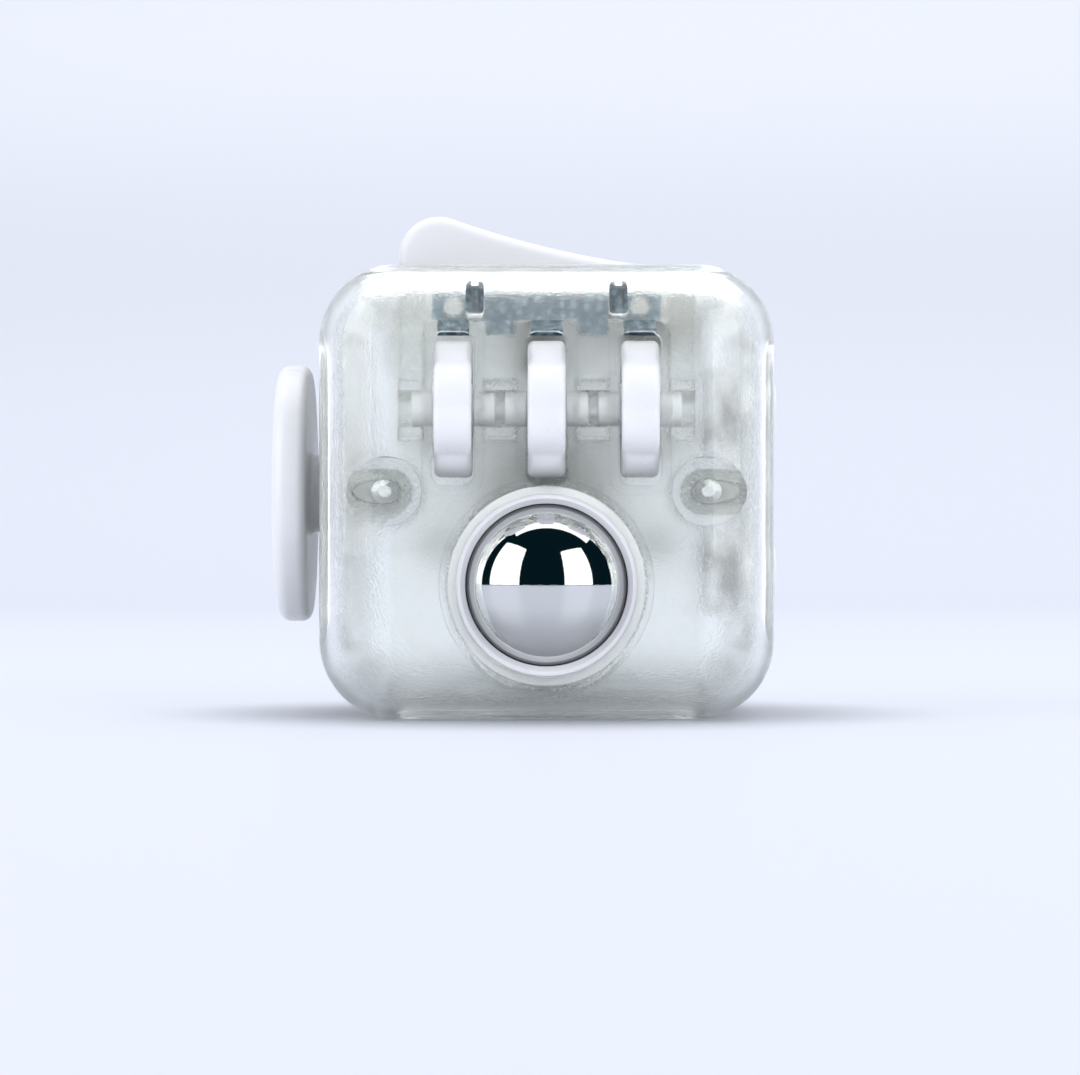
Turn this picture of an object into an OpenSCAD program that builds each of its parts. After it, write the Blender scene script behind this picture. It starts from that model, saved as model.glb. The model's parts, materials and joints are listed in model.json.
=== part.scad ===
// Desk fidget cube with a different movement on each of its six faces.
// Front: three detent wheels and a ball. Top: rocker. Left: spinning dial.
// Right: five push buttons. Back: thumb stick. Bottom: thumb dish.
// Millimetres, +Z up, front towards -Y, origin at the middle of the bottom face.

/* [Body] */
// Width of the cube across its flat faces
cube_size = 33; // [28:0.5:45]
// Radius of every outer edge and corner
edge_radius = 5.7; // [3:0.1:7]
// Thickness of the clear wall
wall = 1.5; // [1.2:0.1:1.8]
// Corner radius of a face panel
panel_corner = 1.6; // [0.5:0.1:3]
// Clearance around a panel in its window
panel_gap = 0.08; // [0.03:0.01:0.3]
// How far a panel's flange reaches behind the wall
flange_lap = 0.9; // [0.5:0.1:1.5]
// Thickness of a panel's flange
flange_thickness = 0.75; // [0.5:0.05:1.2]
// Radius of the pins that align the two shells
pin_radius = 0.55; // [0.4:0.05:0.7]
// How far each pin enters the other shell
pin_length = 3; // [1.5:0.5:4]

/* [Roll wheels] */
// Radius over the lobes of a wheel
wheel_radius = 5.1; // [4:0.1:5.3]
// Thickness of a wheel
wheel_width = 2.7; // [2:0.1:3.2]
// Distance between the middles of neighbouring wheels
wheel_pitch = 6.7; // [6:0.1:7.5]
// Height of the wheels' axis above the middle of the cube
wheel_height = 5.9; // [5.5:0.1:7]
// How far the wheels stand out of the front face
wheel_proud = 1.4; // [0.8:0.1:2]
// Number of lobes on a wheel
wheel_lobes = 8; // [6:1:12]
// Radius of one lobe
lobe_radius = 2.4; // [1.8:0.1:3]
// Radius of a wheel's axle stubs
axle_radius = 1.25; // [0.8:0.05:1.5]
// Length of a wheel over both axle stubs
axle_length = 6; // [5:0.1:6.4]
// Clearance beside a wheel in its slot
slot_side_gap = 0.18; // [0.1:0.01:0.4]
// Clearance above and below a wheel in its slot
slot_end_gap = 0.6; // [0.2:0.05:1]
// Width of the rim around a slot, inside the wall
slot_rim = 0.7; // [0.4:0.1:1]
// Thickness of the detent spring
leaf_thickness = 0.3; // [0.2:0.05:0.4]

/* [Roll ball] */
// Radius of the ball
ball_radius = 6; // [5:0.1:6.1]
// How far the middle of the ball is below the middle of the cube
ball_drop = 6.7; // [6.5:0.1:7.5]
// How far the ball stands out of the front face
ball_proud = 3.4; // [2.5:0.1:3.6]
// How far the ball can be pressed in
ball_travel = 0.7; // [0.3:0.1:1]
// Clearance between the ball and the ring that holds it
ball_gap = 0.12; // [0.05:0.01:0.3]
// Wall of the cradle behind the ball
cradle_wall = 0.53; // [0.4:0.01:0.6]

/* [Spin dial] */
// Radius of the dial
dial_radius = 9.6; // [6:0.1:11]
// Thickness of the dial
dial_thickness = 2.5; // [1.5:0.1:3.5]
// Gap between the dial and the cube
dial_gap = 1.1; // [0.6:0.1:2]
// Radius of the dial's hub
dial_hub_radius = 2.9; // [2.2:0.1:4]
// Radius of the dial's shaft
dial_shaft_radius = 1.5; // [1.2:0.05:2]

/* [Flip rocker] */
// Tilt of the rocker to either side, in degrees
rocker_tilt = 13; // [8:0.5:15]
// Depth of the rocker's pin below the top face
rocker_depth = 1.6; // [1.3:0.1:2]
// Distance from the pin to the middle of a rounded end
rocker_reach = 8.35; // [6:0.05:8.6]
// Height of the rounded ends' middle above the pin
rocker_lift = 0.75; // [0.3:0.05:1]
// Radius of the rocker's rounded ends
rocker_end_radius = 3; // [2:0.1:3.2]
// Radius of the shallow curve along the rocker's top
rocker_dish_radius = 69; // [40:1:150]
// Width of the rocker
rocker_width = 9; // [6:0.1:12]
// Radius of the rocker's pin
rocker_pin_radius = 0.7; // [0.5:0.05:0.8]

/* [Click buttons] */
// Radius of a button
button_radius = 2.25; // [1.5:0.05:2.5]
// Distance of the outer buttons from the middle, along each side
button_spread = 6; // [5.5:0.1:6.3]
// How far a button stands out of the face
button_proud = 0.35; // [0.1:0.05:1]
// How far a button can be pressed in
button_travel = 0.7; // [0.3:0.1:0.9]

/* [Glide stick] */
// Radius of the thumb cap
cap_radius = 5.2; // [3.5:0.1:5.5]
// Thickness of the thumb cap
cap_thickness = 3; // [2:0.1:4]
// Gap between the thumb cap and the cube
cap_gap = 1.7; // [1.5:0.1:3]
// Radius of the stick
stick_radius = 1.9; // [1.5:0.1:2.2]
// Depth of the stick's pivot below the face
stick_depth = 8; // [7.5:0.1:8.5]
// Tilt of the stick to each side, in degrees
stick_tilt = 9; // [5:0.5:9]

/* [Breathe dish] */
// Width of the thumb dish
dish_width = 13; // [8:0.5:16]
// Length of the thumb dish
dish_length = 19; // [14:0.5:20]
// Depth of the thumb dish
dish_depth = 1.9; // [1:0.1:2.2]
// Thickness of the panel over the dish
dish_wall = 1.2; // [0.8:0.1:1.6]

/* [View] */
// Sub-part to draw

/* [Hidden] */
$fn = 64;

clear_tint = [0.82, 0.87, 0.88, 0.45];
clear_inner = [0.80, 0.84, 0.86, 0.6];
white = [0.93, 0.93, 0.95];
steel = [0.55, 0.60, 0.66];
chrome = [0.78, 0.80, 0.82];
rubber = [0.75, 0.75, 0.76];
e = 0.01;
running = 0.05;

// body
half = cube_size / 2;
flat_half = half - edge_radius;
inner = half - wall;
seat = inner;
flange_in = seat - flange_thickness;
pin_place = half - wall - 1.6;
pin_boss = pin_radius + 0.55;
pin_boss_length = pin_length + 2;

// rocker
rocker_sweep = sqrt(pow(rocker_reach, 2) + pow(rocker_lift, 2)) + rocker_end_radius;
rocker_pivot = half - rocker_depth;
rocker_opening = rocker_sweep + 0.17;
top_window = 2 * (rocker_sweep + 0.95);
rocker_side = rocker_width / 2 + 0.2;
nose_length = 2.35;
nose_radius = 2.1;
plunger_radius = 1.25;
plunger_reach = rocker_end_radius - rocker_lift + 4.15;
rocker_bottom = rocker_end_radius - rocker_lift;
rocker_floor = rocker_pivot - rocker_reach * sin(rocker_tilt) - rocker_bottom - 0.75;
housing_bottom = rocker_floor - 0.9;

// wheels
wheel_axis = half + wheel_proud - wheel_radius;
bearing_front = wheel_axis + axle_radius + running;
rim_depth = min(0.8, inner - bearing_front - 0.1);
slot_half = sqrt(pow(wheel_radius, 2) - pow(inner - rim_depth - wheel_axis, 2)) + slot_end_gap;
slot_width = wheel_width + 2 * slot_side_gap;
slot_floor = min(bearing_front - 0.5, inner - rim_depth - 0.1);
cover_front = wheel_axis - wheel_radius - 0.8;
cover_thickness = 1;
cradle_floor = cover_front + 0.6;
gap_middle = wheel_pitch / 2;
bearing_half = 1.2;
end_bearing = [wheel_pitch + wheel_width / 2 + 0.85, wheel_pitch + wheel_width / 2 + 2.65];
leaf_bottom = wheel_height + wheel_radius + 1.3;
leaf_top = flange_in - 0.15;
leaf_back = wheel_axis - 0.6;
leaf_front = leaf_back + leaf_thickness;
leaf_half = wheel_pitch + 1.5;
stake_radius = 0.6;
stake_height = (leaf_bottom + leaf_top) / 2;

// ball
ball_axis = half + ball_proud - ball_radius;
throat_radius = sqrt(pow(ball_radius, 2) - pow(half - 0.7 - ball_axis, 2)) + ball_gap;
ring_radius = throat_radius + 0.65;
cradle_radius = ball_radius + 0.12 + cradle_wall;
cradle_back = ball_axis - ball_radius - 0.9;
tube_inner = cradle_radius + 0.07;
tube_outer = tube_inner + min(0.58, flange_in - 0.1 - ball_drop - tube_inner);
tube_low = ball_drop + tube_outer - flat_half;
tube_front = min(ball_axis - 0.7,
    flat_half + sqrt(max(0, pow(edge_radius - wall - 0.1, 2) - pow(tube_low, 2))));
cradle_front = min(ball_axis - 0.2, inner - 0.9);
can_floor = cradle_back - ball_travel - 1.1;
can_end = can_floor - 0.8;
seat_outer = ball_radius * 0.817;
seat_inner = ball_radius * 0.533;
seat_back = ball_axis - 0.895 * ball_radius;
cover_boss = 2.5;
screw_place = flange_in - 0.3 - cover_boss;
cover_screw_radius = 0.8;

// dial
dial_inner = half + dial_gap;
dial_outer = dial_inner + dial_thickness;
sleeve_end = half - 4;
shaft_end = sleeve_end - 0.1;

// buttons
button_flange = button_radius + 0.5;
button_flange_top = inner - running;
button_plate_top = inner - 2.1;
dome_height = 0.7;
button_places = [
    [0, 0], [-button_spread, button_spread], [button_spread, button_spread],
    [-button_spread, -button_spread], [button_spread, -button_spread],
];
post_place = button_flange + 1.95;

// stick
stick_pivot = half - stick_depth;
stick_dome = inner - 0.2 - stick_pivot;
dome_edge = 2.6;
stick_hole = stick_radius + stick_depth * tan(stick_tilt * 1.42) + 0.65;
cap_inner = half + cap_gap;
cap_outer = cap_inner + cap_thickness;
gimbal_outer = 4.4;
gimbal_inner = 3;
trunnion = 0.7;
holder_top = stick_pivot - 1.9;
holder_bottom = holder_top - 1;
holder_screw_places = [for (x = [-8.2, 8.2], y = [-4, 4]) [x, y]];

// dish
dish_radius = (pow(dish_width / 2, 2) + pow(dish_depth, 2)) / (2 * dish_depth);
dish_run = dish_length / 2 - dish_width / 2;

// Each of these places its children on one face. Their +Z is then outwards, measured
// from the middle of the cube, and their +Y is up on an upright face.
module on_top() translate([0, 0, half]) children();
module on_bottom() translate([0, 0, half]) rotate([180, 0, 0]) children();
module on_front() translate([0, 0, half]) rotate([90, 0, 0]) children();
module on_back() translate([0, 0, half]) rotate([90, 0, 180]) children();
module on_right() translate([0, 0, half]) rotate([90, 0, 90]) children();
module on_left() translate([0, 0, half]) rotate([90, 0, -90]) children();

module slab(w, h, r, low, high) {
    translate([0, 0, low]) linear_extrude(high - low) rounded_rectangle(w, h, r);
}

module rounded_rectangle(w, h, r) {
    union() {
        square([w - 2 * r, h], center = true);
        square([w, h - 2 * r], center = true);
        for (x = [-1, 1], y = [-1, 1]) translate([x * (w / 2 - r), y * (h / 2 - r)]) circle(r);
    }
}

module box(x, y, z) {
    translate([x[0], y[0], z[0]]) cube([x[1] - x[0], y[1] - y[0], z[1] - z[0]]);
}

module rod(r, low, high) {
    translate([0, 0, low]) cylinder(r = r, h = high - low);
}

module rod_x(r, low, high) {
    rotate([0, 90, 0]) rod(r, low, high);
}

module rod_y(r, low, high) {
    rotate([-90, 0, 0]) rod(r, low, high);
}

// A profile drawn as [y, z] and extruded along X.
module along_x(length) {
    rotate([90, 0, 90]) linear_extrude(length, center = true) children();
}

module corner_eighth(r) {
    rotate_extrude(angle = 90) intersection() {
        circle(r);
        square(r);
    }
}

module edge_quarter(r, length) {
    translate([0, 0, -length / 2]) rotate_extrude(angle = 90) square([r, length]);
}

module rounded_cube(s, r) {
    f = s / 2 - r;
    union() {
        cube([2 * f, 2 * f, s], center = true);
        cube([2 * f, s, 2 * f], center = true);
        cube([s, 2 * f, 2 * f], center = true);
        for (turn = [[0, 0, 0], [0, 90, 0], [90, 0, 0]], q = [0 : 3])
            rotate(turn) rotate([0, 0, 90 * q]) translate([f, f, 0]) edge_quarter(r, 2 * f);
        for (m = [0, 1], q = [0 : 3])
            mirror([0, 0, m]) rotate([0, 0, 90 * q]) translate([f, f, f]) corner_eighth(r);
    }
}

// A round wire wound along Z from low to high, as one closed surface.
module coil(radius, wire, low, high, turns, sides = 8, per_turn = 18) {
    rings = round(turns * per_turn);
    rise = (high - low - 2 * wire) / rings;
    points = [
        for (i = [0 : rings], k = [0 : sides - 1])
            let (a = 360 * i / per_turn, b = 360 * k / sides, r = radius + wire * cos(b))
            [r * cos(a), r * sin(a), low + wire + rise * i + wire * sin(b)]
    ];
    faces = concat(
        [[for (k = [0 : sides - 1]) k]],
        [
            for (i = [0 : rings - 1], k = [0 : sides - 1])
                let (n = (k + 1) % sides, p = i * sides, q = p + sides)
                [p + k, q + k, q + n, p + n]
        ],
        [[for (k = [sides - 1 : -1 : 0]) rings * sides + k]]
    );
    polyhedron(points, faces, convexity = 10);
}

// A pressed metal disc that snaps under load.
module click_dome(base, height, thickness, floor) {
    r = (pow(base, 2) + pow(height, 2)) / (2 * height);
    intersection() {
        difference() {
            translate([0, 0, floor + height - r]) sphere(r);
            translate([0, 0, floor + height - r]) sphere(r - thickness);
        }
        rod(base + 1, floor, floor + height + 1);
    }
}

module window(w, h) {
    slab(w, h, panel_corner, seat - e, half + 1);
    slab(w + 2 * flange_lap + 0.2, h + 2 * flange_lap + 0.2, panel_corner + flange_lap,
        flange_in - 0.1, seat);
}

module body_wall() {
    difference() {
        rounded_cube(cube_size, edge_radius);
        rounded_cube(cube_size - 2 * wall, edge_radius - wall);
        translate([0, 0, -half]) {
            on_left() window(2 * flat_half, 2 * flat_half);
            on_right() window(2 * flat_half, 2 * flat_half);
            on_bottom() window(2 * flat_half, 2 * flat_half);
            on_top() window(top_window, 2 * flat_half);
        }
    }
}

module pin_places() {
    for (x = [-1, 1], z = [-1, 1]) translate([x * pin_place, 0, half + z * pin_place]) children();
}

module front_shell() {
    color(clear_tint) difference() {
        union() {
            intersection() {
                translate([0, 0, half]) body_wall();
                box([-half - 1, half + 1], [-half - 1, 0], [-1, cube_size + 1]);
            }
            pin_places() {
                rod_y(pin_boss, -pin_boss_length, 0);
                rod_y(pin_radius, -1, pin_length);
            }
            on_front() {
                for (i = [-1 : 1]) translate([i * wheel_pitch, wheel_height, 0])
                    slab(slot_width + 2 * slot_rim, 2 * slot_half + 2 * slot_rim, 1.4,
                        inner - rim_depth, inner + 0.2);
                translate([0, -ball_drop, 0])
                    rod(ring_radius + 1.25, inner - 1.2, inner + 0.2);
                for (x = [-1, 1]) {
                    translate([x * screw_place, 0, 0]) rod(cover_boss, cover_front, inner + 0.2);
                    translate([x * gap_middle, wheel_height, 0])
                        slab(2, 4, 0.3, bearing_front, inner + 0.2);
                    translate([x * (end_bearing[0] + end_bearing[1]) / 2, wheel_height, 0])
                        slab(1.6, 4, 0.3, bearing_front, inner + 0.2);
                    translate([x * (leaf_half - 3.05), leaf_bottom + 1.2, 0]) difference() {
                        slab(1.3, 2, 0.3, leaf_front + 0.05, inner - 0.2);
                        slab(0.5, 3, 0.1, leaf_front - 1, leaf_front + 0.7);
                    }
                }
            }
        }
        on_front() {
            for (i = [-1 : 1]) translate([i * wheel_pitch, wheel_height, 0])
                slab(slot_width, 2 * slot_half, 0.9, slot_floor, half + 1);
            translate([0, -ball_drop, 0]) {
                rod(ring_radius + 0.03, inner - 2, half + 1);
                rod(ring_radius + 0.63, inner - 2, inner);
            }
            for (x = [-1, 1]) translate([x * screw_place, 0, 0])
                rod(cover_screw_radius + 0.05, cover_front - 1, inner - 1);
        }
    }
}

module rear_shell() {
    color(clear_tint) difference() {
        union() {
            intersection() {
                translate([0, 0, half]) body_wall();
                box([-half - 1, half + 1], [0, half + 1], [-1, cube_size + 1]);
            }
            pin_places() rod_y(pin_boss, 0, pin_boss_length);
            on_back() for (p = holder_screw_places) translate(p)
                rod(1.7, holder_top, inner + 0.2);
        }
        pin_places() rod_y(pin_radius + 0.03, -1, pin_length + 0.2);
        on_back() {
            rod(stick_hole, inner - 1, half + 1);
            translate([0, 0, half - 0.5])
                cylinder(r1 = stick_hole, r2 = stick_hole + 0.6, h = 0.6);
            for (p = holder_screw_places) translate(p) rod(0.65, holder_top - 1, inner - 2.5);
        }
    }
}

module flange(w, h) {
    slab(w + 2 * flange_lap, h + 2 * flange_lap, panel_corner + flange_lap, flange_in, seat);
}

module flat_panel() {
    side = 2 * flat_half;
    slab(side - 2 * panel_gap, side - 2 * panel_gap, panel_corner, seat, half);
    flange(side, side);
}

module panel_pocket() {
    side = 2 * flat_half - 1.8;
    slab(side, side, panel_corner, flange_in - 1, inner);
}

module top_panel() {
    color(clear_tint) on_top() difference() {
        union() {
            intersection() {
                slab(top_window - 2 * panel_gap, 2 * flat_half - 2 * panel_gap, panel_corner,
                    seat, half + 1);
                rotate([90, 0, 0]) linear_extrude(cube_size, center = true)
                    rounded_rectangle(cube_size, cube_size, edge_radius);
            }
            difference() {
                flange(top_window, 2 * flat_half);
                for (x = [-1, 1]) translate([x * (top_window / 2 + 1), 0, 0])
                    box([-1.15, 1.15], [-pin_boss_length - 0.4, pin_boss_length + 0.4],
                        [flange_in - 1, seat + e]);
            }
        }
        slab(2 * rocker_opening, 2 * rocker_side, 0.25, flange_in - 1, half + 1);
        for (y = [-1, 1]) translate([0, y * (rocker_side + 0.4), 0]) {
            translate([0, 0, rocker_pivot]) rod_y(rocker_pin_radius + 0.02, -0.6, 0.6);
            box([-rocker_pin_radius - 0.02, rocker_pin_radius + 0.02], [-0.6, 0.6],
                [flange_in - 1, rocker_pivot]);
        }
    }
}

module dish(extra) {
    translate([0, 0, half - dish_depth + dish_radius]) {
        rotate([0, 90, 0]) cylinder(r = dish_radius + extra, h = 2 * dish_run, center = true);
        for (x = [-1, 1]) intersection() {
            translate([x * dish_run, 0, 0]) sphere(dish_radius + extra);
            translate([x * (dish_run + 20), 0, 0]) cube([40, 80, 80], center = true);
        }
    }
}

module bottom_panel() {
    color(clear_tint) on_bottom() difference() {
        union() {
            flat_panel();
            intersection() {
                dish(dish_wall);
                slab(2 * flat_half, 2 * flat_half, panel_corner, half - dish_depth - 2, seat);
            }
        }
        dish(0);
    }
}

module left_panel() {
    color(clear_tint) on_left() difference() {
        union() {
            difference() {
                flat_panel();
                panel_pocket();
            }
            rod(dial_shaft_radius + 1.7, sleeve_end, inner + 0.2);
        }
        rod(dial_shaft_radius + running, sleeve_end - 1, half + 1);
    }
}

module right_panel() {
    color(clear_tint) on_right() difference() {
        union() {
            difference() {
                flat_panel();
                panel_pocket();
            }
            for (y = [-1, 1]) translate([0, y * post_place, 0])
                rod(1.3, button_plate_top, inner + 0.2);
        }
        for (p = button_places) translate(p) rod(button_radius + 0.1, inner - 1, half + 1);
        for (y = [-1, 1]) translate([0, y * post_place, 0])
            rod(0.52, button_plate_top - 1, inner - 0.3);
    }
}

// ---- Roll: wheels ----

module wheel(i) {
    color(white) on_front() translate([i * wheel_pitch, wheel_height, wheel_axis]) {
        along_x(wheel_width) union() {
            circle(wheel_radius - 1.6);
            for (k = [0 : wheel_lobes - 1]) rotate(360 * (k + 0.5) / wheel_lobes)
                translate([0, wheel_radius - lobe_radius]) circle(lobe_radius);
        }
        rod_x(axle_radius, -axle_length / 2, axle_length / 2);
    }
}

module wheel_left() wheel(-1);
module wheel_middle() wheel(0);
module wheel_right() wheel(1);

module bearing_wall(x, w) {
    translate([x, 0, 0]) difference() {
        box([-w / 2, w / 2], [wheel_height - 2.2, wheel_height + 2.2],
            [cradle_floor - 0.1, bearing_front]);
        translate([0, wheel_height, wheel_axis]) rod_x(axle_radius + running, -w, w);
        box([-w, w], [wheel_height - axle_radius - running, wheel_height + axle_radius + running],
            [wheel_axis, bearing_front + 1]);
    }
}

module wheel_cradle() {
    end_width = end_bearing[1] - end_bearing[0];
    end_middle = (end_bearing[0] + end_bearing[1]) / 2;
    color(clear_inner) on_front() difference() {
        union() {
            box([-end_bearing[1], end_bearing[1]], [cover_boss + 0.3, leaf_top],
                [cover_front, cradle_floor]);
            for (x = [-1, 1]) {
                bearing_wall(x * gap_middle, 2 * bearing_half);
                bearing_wall(x * end_middle, end_width);
                translate([x * end_middle, 0, 0])
                    box([-end_width / 2, end_width / 2], [wheel_height + 2, leaf_top],
                        [cover_front + 0.1, leaf_back]);
                translate([x * wheel_pitch, stake_height, 0])
                    rod(stake_radius, leaf_back - 0.2, leaf_front + 0.5);
            }
            box([-end_bearing[1], end_bearing[1]], [leaf_bottom, leaf_top],
                [leaf_back - 1.2, leaf_back]);
        }
        for (x = [-1, 1]) translate([x * wheel_pitch / 2, leaf_bottom - 4.2, 0])
            rod(0.9, cover_front - 1, cradle_floor + 1);
    }
}

module wheel_leaf_spring() {
    tip = wheel_height + wheel_radius + 0.2;
    color(steel) on_front() {
        translate([0, 0, leaf_back + e]) linear_extrude(leaf_thickness - e) difference() {
            union() {
                square_at(-leaf_half, leaf_half, leaf_bottom, leaf_top);
                for (x = [-1, 1]) translate([x * gap_middle, 0])
                    square_at(-1.05, 1.05, leaf_bottom - 1, leaf_bottom + 0.2);
            }
            for (x = [-1, 1]) translate([x * wheel_pitch, stake_height])
                circle(stake_radius + 0.1);
        }
        for (i = [-1 : 1]) translate([i * wheel_pitch, 0, 0]) along_x(2.3) polygon([
            [leaf_bottom + 0.3, leaf_back + 0.04], [leaf_bottom + 0.3, leaf_front - 0.04],
            [leaf_bottom - 0.06, leaf_front - 0.04], [tip + 0.22, leaf_front + 0.95],
            [tip, leaf_front + 0.75], [leaf_bottom - 0.28, leaf_back + 0.04],
        ]);
    }
}

// ---- Roll: ball ----

module at_ball() on_front() translate([0, -ball_drop, 0]) children();

module ball() {
    color(chrome) at_ball() translate([0, 0, ball_axis]) sphere(ball_radius, $fn = 96);
}

module ball_ring() {
    low = inner - 0.8;
    color(white) at_ball() difference() {
        union() {
            rod(ring_radius, inner - 0.1, half - 0.12);
            rod(ring_radius + 0.6, low, inner);
        }
        rod(throat_radius, low - 1, half + 1);
        translate([0, 0, half - 0.5])
            cylinder(r1 = throat_radius, r2 = throat_radius + 0.4, h = 0.42);
        translate([0, 0, low - e])
            cylinder(r1 = ball_radius + 0.27, r2 = throat_radius, h = half - 0.9 - low);
    }
}

module ball_seat() {
    color(rubber) at_ball() difference() {
        rod(seat_outer, seat_back + running, seat_back + 1.5);
        rod(seat_inner, seat_back - 1, seat_back + 2);
        translate([0, 0, ball_axis]) sphere(ball_radius + running, $fn = 96);
    }
}

module ball_cradle() {
    color(white) at_ball() {
        difference() {
            rod(cradle_radius, cradle_back, cradle_front);
            translate([0, 0, ball_axis]) sphere(ball_radius + 0.12, $fn = 96);
            rod(seat_outer + 0.1, seat_back, seat_back + 2.2);
        }
        rod(1, cradle_back - 0.75, cradle_back + 0.1);
    }
}

module ball_spring() {
    color(steel) at_ball() coil(cradle_radius - 0.95, 0.25, can_floor, cradle_back, 2);
}

module ball_dome() {
    color(chrome) at_ball() click_dome(3, cradle_back - 0.8 - can_floor, 0.15, can_floor);
}

module roll_cover() {
    back = cover_front - cover_thickness;
    color(clear_inner) on_front() difference() {
        union() {
            box([-screw_place, screw_place], [-leaf_top + 0.3, leaf_top - 1.3],
                [back, cover_front]);
            for (x = [-1, 1]) translate([x * screw_place, 0, 0])
                rod(cover_boss - 0.1, back, cover_front);
            translate([0, -ball_drop, 0]) rod(tube_outer, can_end, tube_front);
        }
        translate([0, -ball_drop, 0]) rod(tube_inner, can_floor, ball_axis);
        for (x = [-1, 1]) translate([x * screw_place, 0, 0])
            rod(cover_screw_radius + 0.1, back - 1, cover_front + 1);
    }
}

module screw(r, head_radius, head, low, high) {
    difference() {
        union() {
            rod(head_radius, low, low + head);
            rod(r, low, high - 0.4);
            translate([0, 0, high - 0.4 - e]) cylinder(r1 = r, r2 = r * 0.5, h = 0.4);
        }
        for (a = [0, 90]) rotate(a) cube([head_radius * 1.2, head_radius * 0.28, 9 * e + low * 2
            + head], center = true);
    }
}

module cover_screws() {
    low = cover_front - cover_thickness - 0.8;
    color(steel) on_front() for (x = [-1, 1]) translate([x * screw_place, 0, 0])
        screw(cover_screw_radius, 1.7, 0.8, low, inner - 1.5);
}

// ---- Spin ----

module spin_dial() {
    rim = dial_thickness / 2;
    pad = [3.2, 0.7];
    pad_radius = (pow(pad[0], 2) + pow(pad[1], 2)) / (2 * pad[1]);
    color(white) on_left() difference() {
        union() {
            rotate_extrude() union() {
                square_at(0, dial_radius - rim, dial_inner, dial_outer);
                translate([dial_radius - rim, dial_inner + rim]) circle(rim);
            }
            rod(dial_hub_radius, half + 0.1, dial_inner + 0.5);
            rod(dial_shaft_radius, shaft_end, dial_inner + 0.5);
        }
        translate([0, dial_radius * 0.57, dial_outer - pad[1] + pad_radius])
            sphere(pad_radius, $fn = 96);
        rod(0.68, shaft_end - 1, half - 0.5);
    }
}

module square_at(x1, x2, y1, y2) {
    translate([x1, y1]) square([x2 - x1, y2 - y1]);
}

module spin_washer() {
    color(steel) on_left() difference() {
        rod(dial_shaft_radius + 0.9, shaft_end - 0.4, shaft_end);
        rod(0.68, shaft_end - 1, shaft_end + 1);
    }
}

module spin_screw() {
    color(steel) on_left() screw(0.65, 1.9, 0.8, shaft_end - 1.2, half - 1);
}

// ---- Flip ----

module rocker_profile() {
    span = rocker_dish_radius + rocker_end_radius;
    height = sqrt(pow(span, 2) - pow(rocker_reach, 2));
    touch = rocker_reach * rocker_dish_radius / span;
    touch_height = rocker_lift + rocker_end_radius * height / span;
    difference() {
        union() {
            for (x = [-1, 1]) translate([x * rocker_reach, rocker_lift])
                circle(rocker_end_radius);
            square_at(-rocker_reach, rocker_reach, -rocker_bottom, rocker_lift);
            square_at(-touch, touch, 0, touch_height);
        }
        translate([0, rocker_lift + height]) circle(rocker_dish_radius, $fn = 360);
    }
}

module rocker_pose() {
    on_top() translate([0, 0, rocker_pivot]) rotate([0, rocker_tilt, 0]) children();
}

module rocker() {
    color(white) rocker_pose() difference() {
        union() {
            rotate([90, 0, 0]) linear_extrude(rocker_width, center = true) rocker_profile();
            rod(nose_radius, -rocker_bottom - nose_length, 0);
        }
        rod_y(rocker_pin_radius + running, -rocker_width, rocker_width);
        rod(plunger_radius + 0.1, -rocker_bottom - nose_length - 1, -1.3);
    }
}

module rocker_pin() {
    color(steel) on_top() translate([0, 0, rocker_pivot])
        rod_y(rocker_pin_radius, -rocker_side - 0.9, rocker_side + 0.9);
}

module rocker_plunger() {
    color(steel) rocker_pose() {
        rod(plunger_radius, -plunger_reach + plunger_radius, -plunger_reach + 3);
        intersection() {
            translate([0, 0, -plunger_reach + plunger_radius]) sphere(plunger_radius);
            rod(plunger_radius + 1, -plunger_reach - 1, -plunger_reach + plunger_radius);
        }
    }
}

module rocker_spring() {
    color(steel) rocker_pose()
        coil(plunger_radius - 0.3, 0.15, -plunger_reach + 3, -1.3, 3, 8, 14);
}

module rocker_housing() {
    arc = plunger_reach + 0.15;
    well = arc * sin(rocker_tilt) + plunger_radius + 0.8;
    deep = rocker_pivot - arc - 0.9;
    side = rocker_side + 0.8;
    cheek = min(0.6, pin_place - pin_boss - rocker_opening - 0.1);
    color(clear_inner) on_top() difference() {
        union() {
            box([-rocker_opening - cheek, rocker_opening + cheek], [-side, side],
                [housing_bottom, flange_in]);
            box([-well - 0.8, well + 0.8], [-nose_radius - 1.3, nose_radius + 1.3],
                [deep, rocker_floor]);
        }
        box([-rocker_opening, rocker_opening], [-rocker_side, rocker_side],
            [rocker_floor, flange_in + 1]);
        intersection() {
            translate([0, 0, rocker_pivot]) rod_y(arc, -nose_radius - 0.5, nose_radius + 0.5);
            box([-well, well], [-10, 10], [deep, rocker_floor + 1]);
        }
        translate([0, 0, rocker_pivot]) rod_y(rocker_pin_radius + 0.02, -side - 1, side + 1);
    }
}

// ---- Click ----

module button(i) {
    p = button_places[i];
    top = half + button_proud;
    color(white) on_right() translate([p[0], p[1], 0]) {
        rotate_extrude() union() {
            square_at(0, button_radius, button_flange_top - 0.2, top - 0.4);
            square_at(0, button_radius - 0.4, top - 0.5, top);
            translate([button_radius - 0.4, top - 0.4]) circle(0.4);
        }
        rod(button_flange, button_flange_top - 0.5, button_flange_top);
        rod(0.9, button_plate_top + dome_height + 0.05, button_flange_top - 0.3);
    }
}

module button_1() button(0);
module button_2() button(1);
module button_3() button(2);
module button_4() button(3);
module button_5() button(4);

module click_domes() {
    color(chrome) on_right() for (i = [0, 1, 4]) translate(button_places[i])
        click_dome(2.2, dome_height, 0.15, button_plate_top);
}

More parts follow.
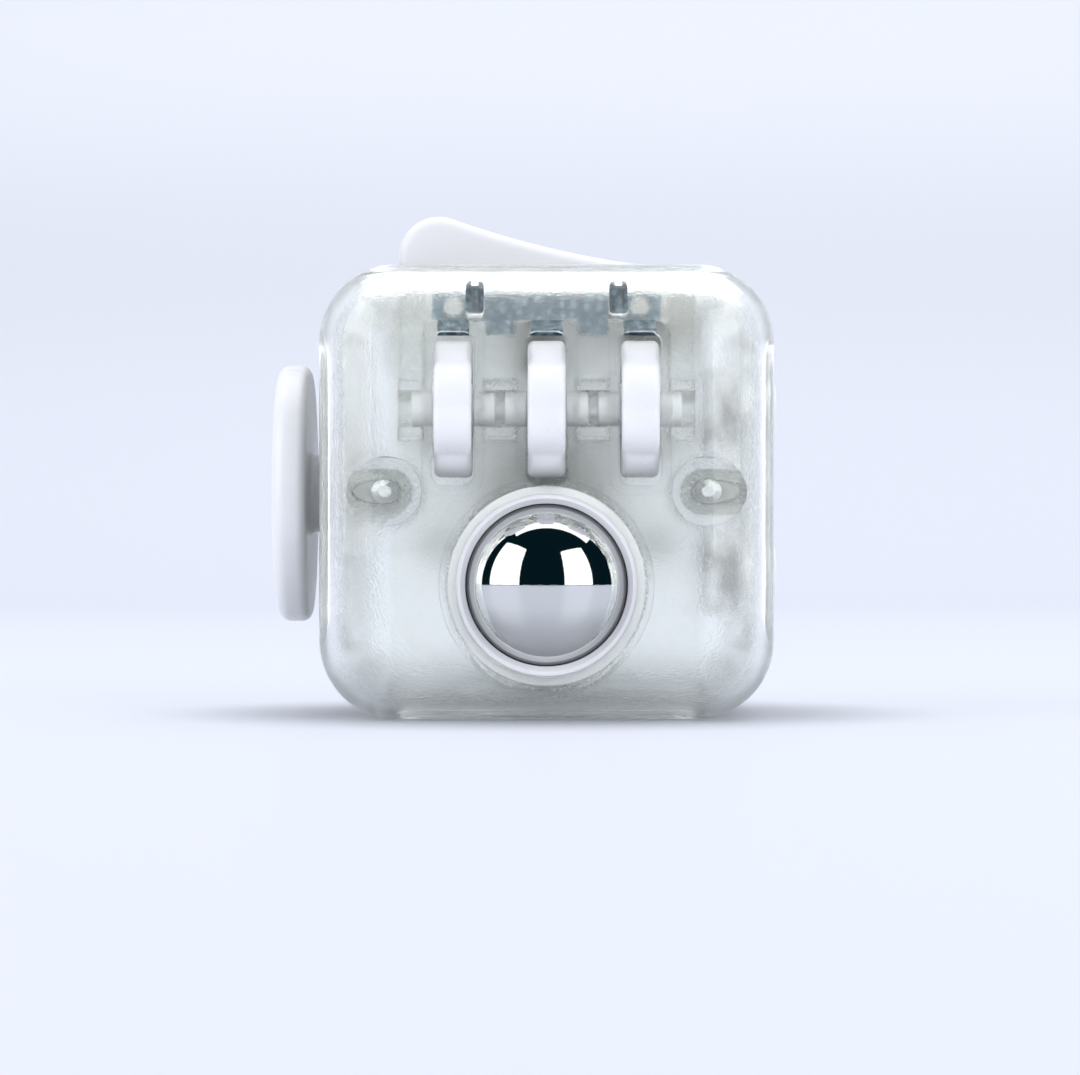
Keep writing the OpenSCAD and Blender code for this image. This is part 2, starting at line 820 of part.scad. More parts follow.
module quiet_pads() {
    color(rubber) on_right() for (i = [2, 3]) translate(button_places[i])
        rod(1.5, button_plate_top, button_plate_top + dome_height);
}

module button_plate() {
    reach = button_spread + button_flange + 0.2;
    up = min(reach, housing_bottom - 0.15);
    color(clear_inner) on_right() difference() {
        translate([0, (up - reach) / 2, 0])
            slab(2 * reach, up + reach, 1.6, button_plate_top - 1, button_plate_top);
        box([-reach - 1, -button_flange - 2.1], [-cover_boss - 0.4, cover_boss + 0.4],
            [button_plate_top - 2, button_plate_top + 1]);
        for (y = [-1, 1]) translate([0, y * post_place, 0])
            rod(0.6, button_plate_top - 2, button_plate_top + 1);
    }
}

module plate_screws() {
    color(steel) on_right() for (y = [-1, 1]) translate([0, y * post_place, 0])
        screw(0.5, 1.1, 0.6, button_plate_top - 1.6, inner - 0.5);
}

// ---- Glide ----

module joystick_cap() {
    color(rubber) on_back() difference() {
        rotate_extrude() union() {
            square_at(0, cap_radius, cap_inner + 0.5, cap_outer - 0.8);
            square_at(0, cap_radius - 0.8, cap_inner + 0.2, cap_outer);
            square_at(0, cap_radius - 0.5, cap_inner, cap_inner + 0.6);
            translate([cap_radius - 0.8, cap_outer - 0.8]) circle(0.8);
        }
        translate([0, 0, cap_outer - 0.6 + 12]) sphere(12, $fn = 96);
        rod(1.18, cap_inner - 1, cap_inner + 2);
        for (k = [0 : 17]) rotate(20 * k) translate([cap_radius + 0.15, 0, 0])
            rod(0.4, cap_inner - 1, cap_outer + 1);
    }
}

module joystick_stick() {
    color(white) on_back() {
        rod(stick_radius, stick_pivot - 1.6, cap_inner);
        rod(1.15, cap_inner - 0.5, cap_inner + 1.9);
        rod(1, stick_pivot - 2.6, stick_pivot);
        translate([0, 0, stick_pivot]) {
            rod_y(trunnion, -gimbal_outer + 0.4, gimbal_outer - 0.4);
            intersection() {
                difference() {
                    sphere(stick_dome);
                    sphere(stick_dome - 0.6);
                }
                rod(stick_dome + 1, dome_edge, stick_dome + 1);
            }
        }
    }
}

module joystick_gimbal() {
    color(steel) on_back() translate([0, 0, stick_pivot]) difference() {
        union() {
            rod(gimbal_outer, -0.9, 0.9);
            rod_x(trunnion, -gimbal_outer - 1.2, gimbal_outer + 1.2);
        }
        rod(gimbal_inner, -2, 2);
        rod_y(trunnion + running, -gimbal_outer - 1, gimbal_outer + 1);
    }
}

module joystick_holder() {
    arm = [gimbal_outer + 0.35, gimbal_outer + 1.35];
    color(clear_inner) on_back() difference() {
        union() {
            slab(2 * holder_screw_places[3][0] + 4, 2 * holder_screw_places[3][1] + 3.6, 1.6,
                holder_bottom, holder_top);
            rod(3.4, holder_bottom - 1.2, holder_top);
            for (x = [-1, 1]) translate([x * (arm[0] + arm[1]) / 2, 0, 0])
                box([-0.5, 0.5], [-1.6, 1.6], [holder_top - 0.1, stick_pivot + 1.1]);
        }
        rod(2.7, holder_bottom - 0.6, holder_top + 1);
        translate([0, 0, stick_pivot]) rod_x(trunnion + running, -arm[1] - 1, arm[1] + 1);
        for (p = holder_screw_places) translate(p) rod(0.75, holder_bottom - 1, holder_top + 1);
    }
}

module joystick_spring() {
    color(steel) on_back()
        coil(1.6, 0.2, holder_bottom - 0.6, stick_pivot - 1.6, 2.5, 8, 16);
}

module holder_screws() {
    color(steel) on_back() for (p = holder_screw_places) translate(p)
        screw(0.6, 1.4, 0.8, holder_bottom - 0.8, inner - 3);
}

front_shell();
rear_shell();
top_panel();
bottom_panel();
left_panel();
right_panel();
wheel_left();
wheel_middle();
wheel_right();
wheel_cradle();
wheel_leaf_spring();
ball();
ball_ring();
ball_seat();
ball_cradle();
ball_spring();
ball_dome();
roll_cover();
cover_screws();
spin_dial();
spin_washer();
spin_screw();
rocker();
rocker_pin();
rocker_housing();
rocker_plunger();
rocker_spring();
button_1();
button_2();
button_3();
button_4();
button_5();
click_domes();
quiet_pads();
button_plate();
plate_screws();
joystick_cap();
joystick_stick();
joystick_gimbal();
joystick_holder();
joystick_spring();
holder_screws();
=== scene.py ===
import json
import math

import bmesh
import bpy
from mathutils import Euler, Matrix, Vector


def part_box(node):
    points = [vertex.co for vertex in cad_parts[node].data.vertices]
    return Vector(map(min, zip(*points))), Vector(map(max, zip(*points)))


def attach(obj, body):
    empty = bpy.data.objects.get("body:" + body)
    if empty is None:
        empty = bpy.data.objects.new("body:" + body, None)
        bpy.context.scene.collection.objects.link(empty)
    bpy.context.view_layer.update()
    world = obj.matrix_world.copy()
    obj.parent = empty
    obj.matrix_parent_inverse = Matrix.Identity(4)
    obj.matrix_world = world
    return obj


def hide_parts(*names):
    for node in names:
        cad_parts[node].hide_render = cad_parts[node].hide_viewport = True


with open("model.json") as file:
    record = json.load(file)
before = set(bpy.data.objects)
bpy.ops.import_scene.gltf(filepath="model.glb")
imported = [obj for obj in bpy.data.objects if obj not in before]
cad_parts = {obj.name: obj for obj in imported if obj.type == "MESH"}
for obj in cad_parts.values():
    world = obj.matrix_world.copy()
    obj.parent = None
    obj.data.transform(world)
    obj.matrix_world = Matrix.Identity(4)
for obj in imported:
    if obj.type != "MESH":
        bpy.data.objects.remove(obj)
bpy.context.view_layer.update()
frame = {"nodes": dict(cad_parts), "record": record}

# ---------------------------------------------------------------- sizes

MM = 0.001
TAU = 2 * math.pi
QUARTER = math.pi / 2

shell_lo, shell_hi = (Vector(v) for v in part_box("front_shell"))
HALF = (shell_hi.x - shell_lo.x) / 2
MIDDLE = Vector((0, 0, HALF))
EDGE = 5.7 * MM

# where the polished outer skin of a moulded clear part turns into its textured inside
SKIN = (0.45 * MM, 1.1 * MM)
# a hair's gap where two clear pieces touch, so that light passes from one to the other cleanly
AIR_GAP = 0.012 * MM
WELD = 1e-7

WHEEL_RADIUS, WHEEL_WIDTH, WHEEL_ROUND = 5.1 * MM, 2.7 * MM, 0.45 * MM
LOBE_COUNT, LOBE_RADIUS, GROOVE_SOFT = 8, 2.4 * MM, 0.16 * MM
STUB_RADIUS = 1.25 * MM

DIAL_THICK, DIAL_OUTER_ROUND, DIAL_INNER_ROUND = 2.5 * MM, 1.0 * MM, 0.75 * MM
HUB_RADIUS, HUB_ROUND, SHAFT_RADIUS, BORE_RADIUS = 2.9 * MM, 0.35 * MM, 1.5 * MM, 0.7 * MM
PIT_PLACE, PIT_RADIUS, PIT_DEPTH = 0.57, 3.35 * MM, 0.75 * MM

ROCKER_REACH, ROCKER_LIFT, ROCKER_END = 8.35 * MM, 0.75 * MM, 3.0 * MM
ROCKER_DISH, ROCKER_WIDTH, ROCKER_ROUND = 69.0 * MM, 9.0 * MM, 0.75 * MM
ROCKER_DEPTH, ROCKER_TILT = 1.6 * MM, 13
NOSE_RADIUS, NOSE_BORE = 2.1 * MM, 1.35 * MM

BACKDROP = (0.785, 0.815, 0.913)
FLOOR_FRONT, FLOOR_BEND, BEND_RADIUS, WALL_TOP, FLOOR_SIDE = -3.0, 0.45, 0.2, 1.2, 2.0
FLOOR_BELOW = 0.02 * MM


def middle(node):
    low, high = (Vector(v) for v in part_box(node))
    return (low + high) / 2


# ---------------------------------------------------------------- node helpers

def add_node(tree, kind, *values, operation=None, **named):
    """Adds a shader node. A value that is a socket is linked, any other is set."""
    node = tree.nodes.new("ShaderNode" + kind)
    if operation:
        node.operation = operation
    sockets = list(zip(node.inputs, values))
    sockets += [(node.inputs[name.replace("_", " ")], value) for name, value in named.items()]
    for socket, value in sockets:
        if isinstance(value, bpy.types.NodeSocket):
            tree.links.new(value, socket)
        else:
            socket.default_value = value
    return node


def empty_tree(owner):
    owner.use_nodes = True
    owner.node_tree.nodes.clear()
    return owner.node_tree


class Nodes:
    """A small builder for one material's node tree around a Principled shader."""

    def __init__(self, name, **values):
        self.material = bpy.data.materials.new(name)
        self.tree = empty_tree(self.material)
        self.shader = add_node(self.tree, "BsdfPrincipled", **values)
        add_node(self.tree, "OutputMaterial", Surface=self.shader.outputs[0])
        self.coords = add_node(self.tree, "TexCoord").outputs["Object"]

    def link(self, out, socket):
        self.tree.links.new(out, self.shader.inputs[socket])

    def vector(self, operation, *values):
        node = add_node(self.tree, "VectorMath", *values, operation=operation)
        return node.outputs["Value" if operation == "LENGTH" else "Vector"]

    def math(self, operation, *values, clamp=False):
        node = add_node(self.tree, "Math", *values, operation=operation)
        node.use_clamp = clamp
        return node.outputs[0]

    def noise(self, scale, detail=3.0, rough=0.55, stretch=None):
        place = self.vector("MULTIPLY", self.coords, stretch) if stretch else self.coords
        return add_node(self.tree, "TexNoise", Vector=place, Scale=scale, Detail=detail,
                        Roughness=rough).outputs["Fac"]

    def cells(self, scale):
        return add_node(self.tree, "TexVoronoi", Vector=self.coords,
                        Scale=scale).outputs["Distance"]

    def span(self, value, source, target, smooth=False):
        """Maps a value from the source range to the target range."""
        node = add_node(self.tree, "MapRange", Value=value, From_Min=source[0],
                        From_Max=source[1], To_Min=target[0], To_Max=target[1])
        if smooth:
            node.interpolation_type = "SMOOTHSTEP"
        return node.outputs["Result"]

    def ramp(self, value, *stops):
        node = add_node(self.tree, "ValToRGB", Fac=value)
        for element, (place, colour) in zip(node.color_ramp.elements, stops):
            element.position = place
            element.color = (*colour, 1)
        return node.outputs["Color"]

    def bump(self, height, distance, strength, under=None):
        named = {} if under is None else {"Normal": under}
        return add_node(self.tree, "Bump", Strength=strength, Distance=distance, Height=height,
                        **named).outputs["Normal"]


# ---------------------------------------------------------------- materials

def clear_plastic(name, inside_rough, tint, milky, moulded=True):
    n = Nodes(name, Base_Color=(*tint, 1), IOR=1.5)
    if moulded:
        # the outer skin is polished and the inside is spark-textured: the distance from the
        # outer surface tells the two apart
        place = n.vector("ABSOLUTE", n.vector("SUBTRACT", n.coords, tuple(MIDDLE)))
        corner = n.vector("MAXIMUM", n.vector("SUBTRACT", place, (HALF - EDGE,) * 3), (0, 0, 0))
        depth = n.math("SUBTRACT", EDGE, n.vector("LENGTH", corner))
        inside = n.span(depth, SKIN, (0.0, 1.0), smooth=True)
    else:
        inside = n.span(n.noise(90), (0.25, 0.45), (0.85, 1.0))
    grain = n.noise(5200, 2.0, 0.6)
    cloud = n.noise(170, 3.0, 0.5)
    texture = n.math("ADD", n.math("MULTIPLY", grain, 0.6), n.math("MULTIPLY", cloud, 0.4))
    frosted = n.span(texture, (0.3, 0.7), (inside_rough * 0.7, inside_rough * 1.25))
    # the textured side scatters part of the light, which makes the plastic look slightly milky
    scatter = n.math("MULTIPLY", inside, n.span(grain, (0.3, 0.7), (0.8, 1.2)))
    n.link(n.span(scatter, (0.0, 1.2), (1.0, 1.0 - milky)), "Transmission Weight")
    smudge = n.span(cloud, (0.42, 0.68), (0.012, 0.05))
    outer = n.math("MULTIPLY", smudge, n.math("SUBTRACT", 1.0, inside))
    n.link(n.math("ADD", outer, n.math("MULTIPLY", frosted, inside)), "Roughness")
    fine = n.bump(n.math("MULTIPLY", grain, inside), 0.03 * MM, 1.0)
    n.link(n.bump(n.noise(240, 2.0, 0.45), 0.012 * MM, 0.55, fine), "Normal")
    return n.material


def moulded_plastic(name, colour, rough, coat):
    n = Nodes(name, IOR=1.49, Subsurface_Weight=0.12, Subsurface_Scale=0.9 * MM,
              Subsurface_Radius=(1.0, 0.92, 0.85), Coat_Weight=coat, Coat_Roughness=0.12)
    cloud = n.noise(210, 3.0, 0.55)
    low = tuple(c * 0.965 for c in colour)
    n.link(n.ramp(cloud, (0.3, low), (0.7, colour)), "Base Color")
    grain = n.noise(4300, 2.0, 0.6)
    texture = n.math("ADD", n.math("MULTIPLY", grain, 0.5), n.math("MULTIPLY", cloud, 0.5))
    n.link(n.span(texture, (0.35, 0.65), (rough * 0.82, rough * 1.2)), "Roughness")
    scratch = n.noise(900, 2.0, 0.5, (1.0, 1.0, 0.06))
    fine = n.bump(grain, 0.006 * MM, 0.7)
    n.link(n.bump(scratch, 0.004 * MM, 0.4, fine), "Normal")
    return n.material


def polished_steel(name):
    n = Nodes(name, Metallic=1.0, Base_Color=(0.68, 0.69, 0.69, 1))
    haze = n.noise(260, 3.0, 0.6)
    n.link(n.span(haze, (0.35, 0.75), (0.018, 0.06)), "Roughness")
    fine = n.bump(n.noise(3600, 2.0, 0.55, (1.0, 0.12, 1.0)), 0.0012 * MM, 0.5)
    n.link(n.bump(n.noise(420, 1.0, 0.4), 0.0025 * MM, 0.4, fine), "Normal")
    return n.material


def sheet_steel(name, dark, light, rough, speckle):
    n = Nodes(name, Metallic=0.85)
    grain = n.noise(2600, 3.0, 0.7)
    fleck = n.span(n.cells(1700), (0.0, 0.55), (1.0, 0.0))
    mix = n.math("ADD", n.math("MULTIPLY", grain, 0.7), n.math("MULTIPLY", fleck, speckle),
                 clamp=True)
    n.link(n.ramp(mix, (0.3, dark), (0.8, light)), "Base Color")
    n.link(n.span(grain, (0.3, 0.7), (rough * 0.75, rough * 1.25)), "Roughness")
    rolled = n.noise(1500, 2.0, 0.5, (0.05, 1.0, 1.0))
    n.link(n.bump(n.math("ADD", grain, rolled), 0.02 * MM, 0.8), "Normal")
    return n.material


def soft_rubber(name, colour):
    n = Nodes(name, IOR=1.43, Sheen_Weight=0.25, Sheen_Roughness=0.5, Subsurface_Weight=0.08,
              Subsurface_Scale=0.8 * MM)
    cloud = n.noise(320, 4.0, 0.6)
    low = tuple(c * 0.93 for c in colour)
    n.link(n.ramp(cloud, (0.3, low), (0.7, colour)), "Base Color")
    dust = n.noise(2900, 3.0, 0.6)
    n.link(n.span(dust, (0.35, 0.7), (0.5, 0.7)), "Roughness")
    n.link(n.bump(dust, 0.01 * MM, 0.7), "Normal")
    return n.material


WHITE = moulded_plastic("white_plastic", (0.86, 0.865, 0.89), rough=0.33, coat=0.15)
BY_SLOT = {
    "clear_shell": clear_plastic("clear_shell", 0.2, (0.985, 1.0, 0.985), milky=0.1),
    "clear_inner": clear_plastic("clear_inner", 0.26, (0.995, 1.0, 0.985), milky=0.05,
                                 moulded=False),
    "white_plastic": WHITE,
    "chrome_ball": polished_steel("chrome_ball"),
    "spring_steel": sheet_steel("spring_steel", (0.03, 0.055, 0.075), (0.19, 0.27, 0.33),
                                rough=0.42, speckle=0.45),
    "dome_steel": sheet_steel("dome_steel", (0.42, 0.43, 0.44), (0.66, 0.67, 0.68),
                              rough=0.28, speckle=0.18),
    "hardware_steel": sheet_steel("hardware_steel", (0.52, 0.535, 0.55), (0.74, 0.75, 0.76),
                                  rough=0.3, speckle=0.225),
    "grey_rubber": soft_rubber("grey_rubber", (0.60, 0.60, 0.615)),
    "seat_plastic": soft_rubber("seat_plastic", (0.66, 0.66, 0.64)),
}

for part in frame["record"]["subparts"]:
    piece = frame["nodes"][part["node"]]
    piece.data.materials.clear()
    piece.data.materials.append(BY_SLOT[part["material_slot"]])
    if part["material_slot"] in ("clear_shell", "clear_inner"):
        gap = piece.modifiers.new("air_gap", "DISPLACE")
        gap.mid_level = 0
        gap.strength = -AIR_GAP


# ---------------------------------------------------------------- mesh helpers

def make(name, vertices, faces, material, body, slot, *nodes, smooth=40):
    """A smooth piece that rides on a body and is shown instead of the CAD nodes."""
    mesh = bpy.data.meshes.new(name)
    mesh.from_pydata([tuple(v) for v in vertices], [], faces)
    mesh.update()
    work = bmesh.new()
    work.from_mesh(mesh)
    bmesh.ops.remove_doubles(work, verts=work.verts, dist=WELD)
    bmesh.ops.recalc_face_normals(work, faces=work.faces)
    work.to_mesh(mesh)
    work.free()
    for polygon in mesh.polygons:
        polygon.use_smooth = True
    mesh.set_sharp_from_angle(angle=math.radians(smooth))
    piece = bpy.data.objects.new(name, mesh)
    bpy.context.scene.collection.objects.link(piece)
    mesh.materials.append(material)
    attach(piece, body)
    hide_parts(*nodes)


def grid_faces(rows, columns, start=0):
    """Faces between closed rows of vertices, the first of which has the number start."""
    faces = []
    for r in range(rows - 1):
        for c in range(columns):
            n = (c + 1) % columns
            faces.append(tuple(start + i for i in (r * columns + c, r * columns + n,
                                                   (r + 1) * columns + n, (r + 1) * columns + c)))
    return faces


def circle(count):
    """Cosine and sine at even steps around a full turn."""
    return [(math.cos(TAU * k / count), math.sin(TAU * k / count)) for k in range(count)]


def arc(first, last, steps):
    """Cosine and sine at even steps from one angle to another, both ends included."""
    angles = [first + (last - first) * k / steps for k in range(steps + 1)]
    return [(math.cos(a), math.sin(a)) for a in angles]


# ---------------------------------------------------------------- detent wheels

def lobe_edge(angle):
    """Distance from the axis to the outline of overlapping lobes, with rounded grooves."""
    step = TAU / LOBE_COUNT
    off = (angle % step) - step / 2
    reach = WHEEL_RADIUS - LOBE_RADIUS
    side = reach * math.sin(off)
    outer = reach * math.cos(off) + math.sqrt(max(LOBE_RADIUS ** 2 - side ** 2, 0))
    side = reach * math.sin(step / 2)
    groove = reach * math.cos(step / 2) + math.sqrt(LOBE_RADIUS ** 2 - side ** 2)
    return groove + math.hypot(outer - groove, GROOVE_SOFT) - GROOVE_SOFT / 4


def wheel(node, body):
    at = middle(node)
    low, high = (Vector(v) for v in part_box(node))
    tip = (high.x - low.x) / 2
    half, stub, soft = WHEEL_WIDTH / 2, STUB_RADIUS, WHEEL_ROUND
    # one half from the hub outwards: a raised hub ring, a shallow web, then the rounded rim,
    # whose radius counts from the lobes' outline
    face = [(0.10 * MM, stub + 0.05 * MM), (0.10 * MM, stub + 0.5 * MM),
            (0.0, stub + 0.62 * MM), (-0.16 * MM, stub + 0.7 * MM), (-0.16 * MM, 3.1 * MM),
            (-0.12 * MM, 3.2 * MM), (0.0, 3.32 * MM)]
    profile = [(half + proud, r, False) for proud, r in face]
    profile += [(half - soft + soft * c, -soft + soft * s, True) for c, s in arc(0, QUARTER, 6)]
    profile += [(-x, r, on_rim) for x, r, on_rim in reversed(profile)]
    turns = 256
    outline = [lobe_edge(TAU * k / turns - QUARTER) for k in range(turns)]
    verts = []
    for x, r, on_rim in profile:
        for edge, (c, s) in zip(outline, circle(turns)):
            d = edge + r if on_rim else r
            verts.append(at + Vector((x, d * c, d * s)))
    faces = grid_faces(len(profile), turns)
    # axle stubs with a small chamfer and a dimpled end
    turns = 48
    rows = [(half - 0.2 * MM, stub), (tip - 0.15 * MM, stub), (tip - 0.04 * MM, stub - 0.05 * MM),
            (tip, stub - 0.16 * MM), (tip, 0.3 * MM), (tip - 0.12 * MM, 0.0001 * MM)]
    for side in (1, -1):
        faces += grid_faces(len(rows), turns, len(verts))
        for x, r in rows:
            verts += [at + Vector((side * x, r * c, r * s)) for c, s in circle(turns)]
    make(node + "_body", verts, faces, WHITE, body, "white_plastic", node)


for side in ("left", "middle", "right"):
    wheel("wheel_" + side, side + "_wheel")


# ---------------------------------------------------------------- spinning dial

def dial():
    low, high = (Vector(v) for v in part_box("spin_dial"))
    radius = (high.y - low.y) / 2
    outer, inner, tip = low.x, low.x + DIAL_THICK, high.x
    # radius and place along the axis, from the middle of the outer face to the bore
    profile = [(0.0, outer), (1.0 * MM, outer), (radius * 0.35, outer), (radius * 0.7, outer)]
    big = DIAL_OUTER_ROUND
    profile += [(radius - big + big * s, outer + big - big * c) for c, s in arc(0, QUARTER, 10)]
    big = DIAL_INNER_ROUND
    profile += [(radius - big + big * s, inner - big - big * c)
                for c, s in arc(QUARTER, math.pi, 10)]
    profile += [(radius * 0.6, inner), (4.2 * MM, inner),
                (HUB_RADIUS + HUB_ROUND, inner + 0.02 * MM)]
    profile += [(HUB_RADIUS + HUB_ROUND * (1 - s), inner + HUB_ROUND * (1 - c))
                for c, s in arc(0, QUARTER, 6)[1:]]
    profile += [(HUB_RADIUS, -HALF - 0.2 * MM), (HUB_RADIUS - 0.1 * MM, -HALF - 0.1 * MM),
                (SHAFT_RADIUS, -HALF - 0.1 * MM), (SHAFT_RADIUS, tip - 0.1 * MM),
                (SHAFT_RADIUS - 0.1 * MM, tip), (BORE_RADIUS, tip),
                (BORE_RADIUS - 0.02 * MM, -HALF + 0.5 * MM), (0.0, -HALF + 0.3 * MM)]
    # the outer face is cut into narrow rings, so that it can take the finger dimple
    ring = 0.3 * MM
    fine = []
    for (r1, x1), (r2, x2) in zip(profile, profile[1:]):
        parts = max(1, int(abs(r1 - r2) / ring)) if x1 == x2 == outer else 1
        fine += [(r1 + (r2 - r1) * k / parts, x1 + (x2 - x1) * k / parts) for k in range(parts)]
    fine.append(profile[-1])
    turns = 144
    verts = []
    for r, x in fine:
        for c, s in circle(turns):
            y, z = r * s, r * c
            away = math.hypot(y, z - radius * PIT_PLACE) / PIT_RADIUS
            dip = 0.0
            if x < outer + 0.01 * MM and away < 1:
                dip = PIT_DEPTH * (0.5 + 0.5 * math.cos(math.pi * away)) ** 0.9
            verts.append(Vector((x + dip, y, HALF + z)))
    make("spin_dial_body", verts, grid_faces(len(fine), turns), WHITE, "dial",
         "white_plastic", "spin_dial", smooth=50)


dial()


# ---------------------------------------------------------------- rocker

def rocker_outline():
    """Side view: a long concave top that runs into two round ends, and a flat underside."""
    reach, lift, end, dish = ROCKER_REACH, ROCKER_LIFT, ROCKER_END, ROCKER_DISH
    span = dish + end
    height = math.sqrt(span ** 2 - reach ** 2)
    touch = math.asin(reach / span)
    right = arc(QUARTER + touch, -QUARTER, 24)[1:]
    left = arc(-QUARTER, -QUARTER - math.pi - touch, 24)[:-1]
    outline = [(dish * s, lift + height - dish * c) for c, s in arc(-touch, touch, 24)]
    outline += [(reach + end * c, lift + end * s) for c, s in right]
    outline += [(reach - 2 * reach * k / 8, lift - end) for k in range(1, 8)]
    outline += [(-reach + end * c, lift + end * s) for c, s in left]
    return [Vector(p) for p in outline]


def rocker():
    pivot = Vector((0, 0, 2 * HALF - ROCKER_DEPTH))
    turn = Matrix.Rotation(math.radians(ROCKER_TILT), 3, "Y")
    points = rocker_outline()
    count = len(points)
    normals = []
    for i in range(count):
        along = (points[(i + 1) % count] - points[i - 1]).normalized()
        normals.append(Vector((-along.y, along.x)))
    # the outline is drawn in towards both sides, which rounds its long edges
    soft = ROCKER_ROUND
    rows = [(ROCKER_WIDTH / 2 - soft + soft * s, soft * (1 - c)) for c, s in arc(0, QUARTER, 7)]
    rows = [(-y, inset) for y, inset in reversed(rows)] + rows
    verts = []
    for y, inset in rows:
        for point, normal in zip(points, normals):
            q = point - normal * inset
            verts.append(turn @ Vector((q.x, y, q.y)) + pivot)
    faces = grid_faces(len(rows), count)
    faces.append(tuple(range(count)))
    faces.append(tuple((len(rows) - 1) * count + i for i in reversed(range(count))))
    # the hollow nose that holds the plunger
    low = ROCKER_LIFT - ROCKER_END
    nose = [(NOSE_RADIUS, -2.0 * MM), (NOSE_RADIUS, low - 2.2 * MM),
            (NOSE_RADIUS - 0.12 * MM, low - 2.33 * MM), (NOSE_BORE + 0.05 * MM, low - 2.35 * MM),
            (NOSE_BORE, low - 2.3 * MM), (NOSE_BORE, -1.35 * MM), (0.0, -1.3 * MM)]
    turns = 48
    faces += grid_faces(len(nose), turns, len(verts))
    for r, z in nose:
        verts += [turn @ Vector((r * c, r * s, z)) + pivot for c, s in circle(turns)]
    make("rocker_body", verts, faces, WHITE, "flip_rocker", "white_plastic", "rocker",
         smooth=50)


rocker()


# ---------------------------------------------------------------- ball

def true_ball():
    """Rounds the facets of the ball away, so that it mirrors the room cleanly."""
    ball = frame["nodes"]["ball"]
    low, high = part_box("ball")
    hub = bpy.data.objects.new("ball_middle", None)
    hub.location = (low + high) / 2
    bpy.context.scene.collection.objects.link(hub)
    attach(hub, "roll_ball")
    for name in ("custom_normal", "sharp_edge"):
        layer = ball.data.attributes.get(name)
        if layer:
            ball.data.attributes.remove(layer)
    for polygon in ball.data.polygons:
        polygon.use_smooth = True
    weld = ball.modifiers.new("weld", "WELD")
    weld.merge_threshold = 1e-6
    finer = ball.modifiers.new("finer", "SUBSURF")
    finer.subdivision_type = "SIMPLE"
    finer.levels = finer.render_levels = 2
    cast = ball.modifiers.new("round", "CAST")
    cast.object = hub
    cast.factor = 1.0
    cast.radius = 0
    cast.use_radius_as_size = False
    cast.size = (high.x - low.x) / 2


true_ball()


# ---------------------------------------------------------------- stage, light and camera

def floor_material():
    material = bpy.data.materials.new("pale_floor")
    tree = empty_tree(material)
    # the glow fades under the cube and close to it: a painted contact shadow on the floor
    place = add_node(tree, "TexCoord").outputs["Object"]
    level = add_node(tree, "VectorMath", place, (1, 1, 0), operation="MULTIPLY")
    away = add_node(tree, "VectorMath", level.outputs[0], operation="LENGTH")
    painted_shadow_fade = add_node(tree, "MapRange", Value=away.outputs["Value"], From_Min=14 * MM,
                    From_Max=32 * MM, To_Min=0.19, To_Max=0.50)
    painted_shadow_fade.interpolation_type = "SMOOTHSTEP"
    glow = add_node(tree, "Emission", Color=(*BACKDROP, 1), Strength=painted_shadow_fade.outputs["Result"])
    sheen = add_node(tree, "BsdfGlossy", Color=(0.09, 0.09, 0.086, 1), Roughness=0.34)
    body = add_node(tree, "BsdfDiffuse", Color=(0.31, 0.325, 0.365, 1))
    both = add_node(tree, "AddShader", glow.outputs[0], sheen.outputs[0])
    whole = add_node(tree, "AddShader", both.outputs[0], body.outputs[0])
    add_node(tree, "OutputMaterial", Surface=whole.outputs[0])
    return material


def stage():
    """A floor that bends up into a back wall."""
    bend = BEND_RADIUS
    line = [(FLOOR_FRONT, 0.0), (FLOOR_BEND, 0.0)]
    line += [(FLOOR_BEND + bend * s, bend - bend * c) for c, s in arc(0, QUARTER, 16)[1:]]
    line.append((FLOOR_BEND + bend, WALL_TOP))
    verts, faces = [], []
    for y, z in line:
        verts += [(-FLOOR_SIDE, y, z - FLOOR_BELOW), (FLOOR_SIDE, y, z - FLOOR_BELOW)]
    for k in range(len(line) - 1):
        faces.append((2 * k, 2 * k + 1, 2 * k + 3, 2 * k + 2))
    mesh = bpy.data.meshes.new("floor")
    mesh.from_pydata(verts, [], faces)
    for polygon in mesh.polygons:
        polygon.use_smooth = True
    floor = bpy.data.objects.new("floor", mesh)
    floor.data.materials.append(floor_material())
    bpy.context.scene.collection.objects.link(floor)


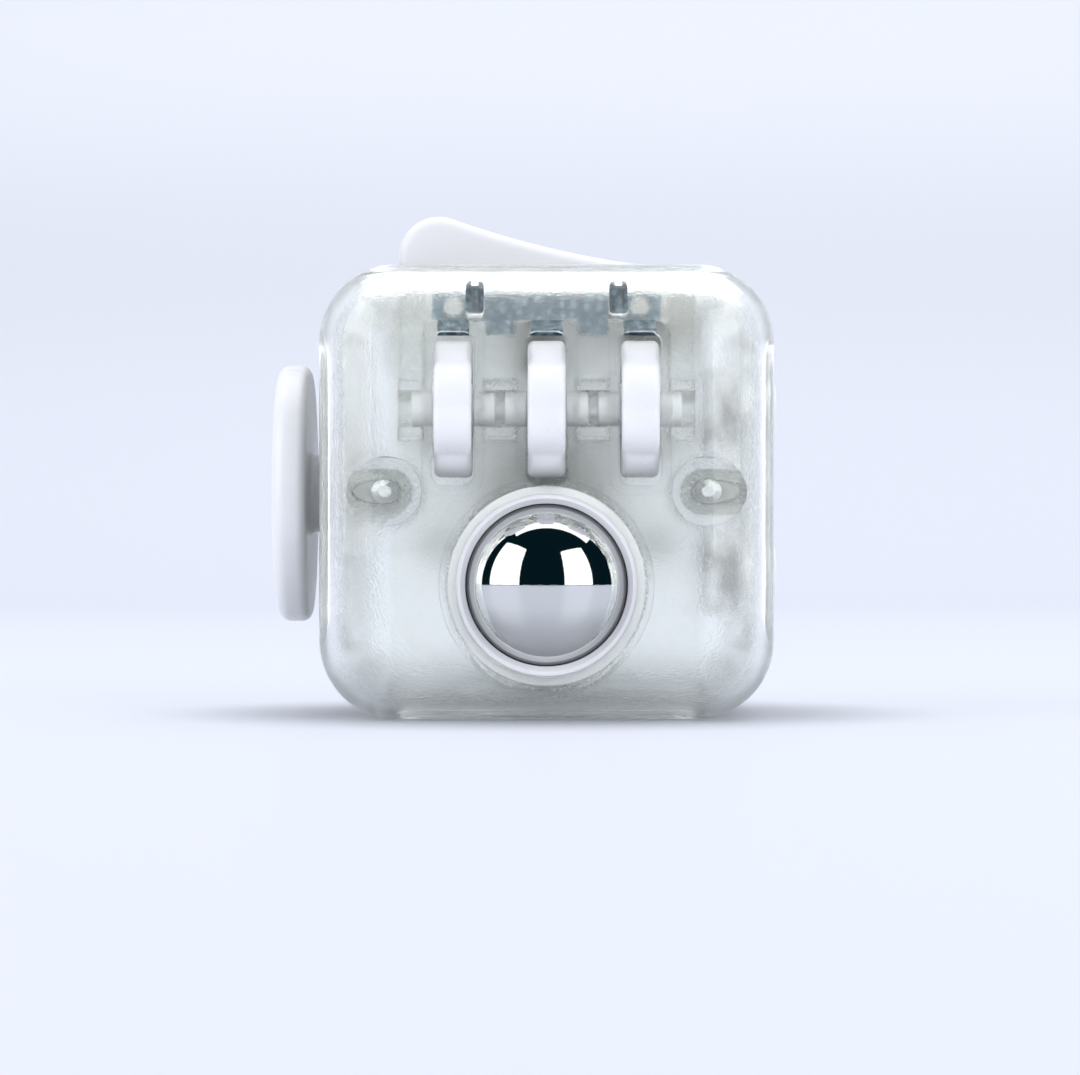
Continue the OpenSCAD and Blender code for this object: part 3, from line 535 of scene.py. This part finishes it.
def soft_box(name, place, aim, width, height, power):
    data = bpy.data.lights.new(name, "AREA")
    data.shape = "RECTANGLE"
    data.size, data.size_y = width, height
    data.energy = power
    lamp = bpy.data.objects.new(name, data)
    lamp.location = place
    lamp.visible_camera = False
    lamp.rotation_euler = (Vector(aim) - Vector(place)).to_track_quat("-Z", "Y").to_euler()
    bpy.context.scene.collection.objects.link(lamp)


def studio():
    world = bpy.data.worlds.new("studio")
    bpy.context.scene.world = world
    tree = empty_tree(world)

    def light(colour, strength):
        return add_node(tree, "Background", Color=(*colour, 1), Strength=strength).outputs[0]

    def mix(share, first, second):
        return add_node(tree, "MixShader", share, first, second).outputs[0]

    rays = add_node(tree, "LightPath").outputs
    # the room in front of the cube is dark, so only a ray that met no clear plastic sees it
    direct = add_node(tree, "Math", rays["Transmission Depth"], 0.5, operation="LESS_THAN")
    mirrored = add_node(tree, "Math", rays["Is Glossy Ray"], direct.outputs[0],
                        operation="MULTIPLY")
    through = light((0.90, 0.915, 0.93), 2.5)
    seen = mix(rays["Is Camera Ray"], through, light(BACKDROP, 1.0))
    seen = mix(mirrored.outputs[0], seen, light((0.002, 0.011, 0.017), 1.0))
    seen = mix(rays["Is Diffuse Ray"], seen, light((0.80, 0.83, 0.90), 0.8))
    add_node(tree, "OutputWorld", Surface=seen)
    soft_box("key_left", (-0.433, -0.25, 0.30), (0, 0, 0.30), 0.43, 0.58, 1.35)
    soft_box("key_right", (0.35, -0.357, 0.27), (0, 0, 0.27), 0.37, 0.52, 1.15)
    soft_box("over", (0.09, 0.17, 0.55), (0.09, 0.17, 0), 0.85, 0.47, 2.2)


def camera():
    data = bpy.data.cameras.new("camera")
    data.sensor_width = 36
    data.lens = 132.9
    data.clip_start, data.clip_end = 0.01, 10
    piece = bpy.data.objects.new("camera", data)
    piece.location = (-0.47 * MM, -300 * MM, HALF - 3.32 * MM)
    piece.rotation_euler = Euler((QUARTER, 0, 0))
    bpy.context.scene.collection.objects.link(piece)
    bpy.context.scene.camera = piece


stage()
studio()
camera()
scene = bpy.context.scene
scene.view_settings.view_transform = "Standard"
scene.cycles.transmission_bounces = 16
scene.cycles.glossy_bounces = 16
scene.cycles.max_bounces = 20
scene.cycles.transparent_max_bounces = 16
scene.cycles.use_denoising = True
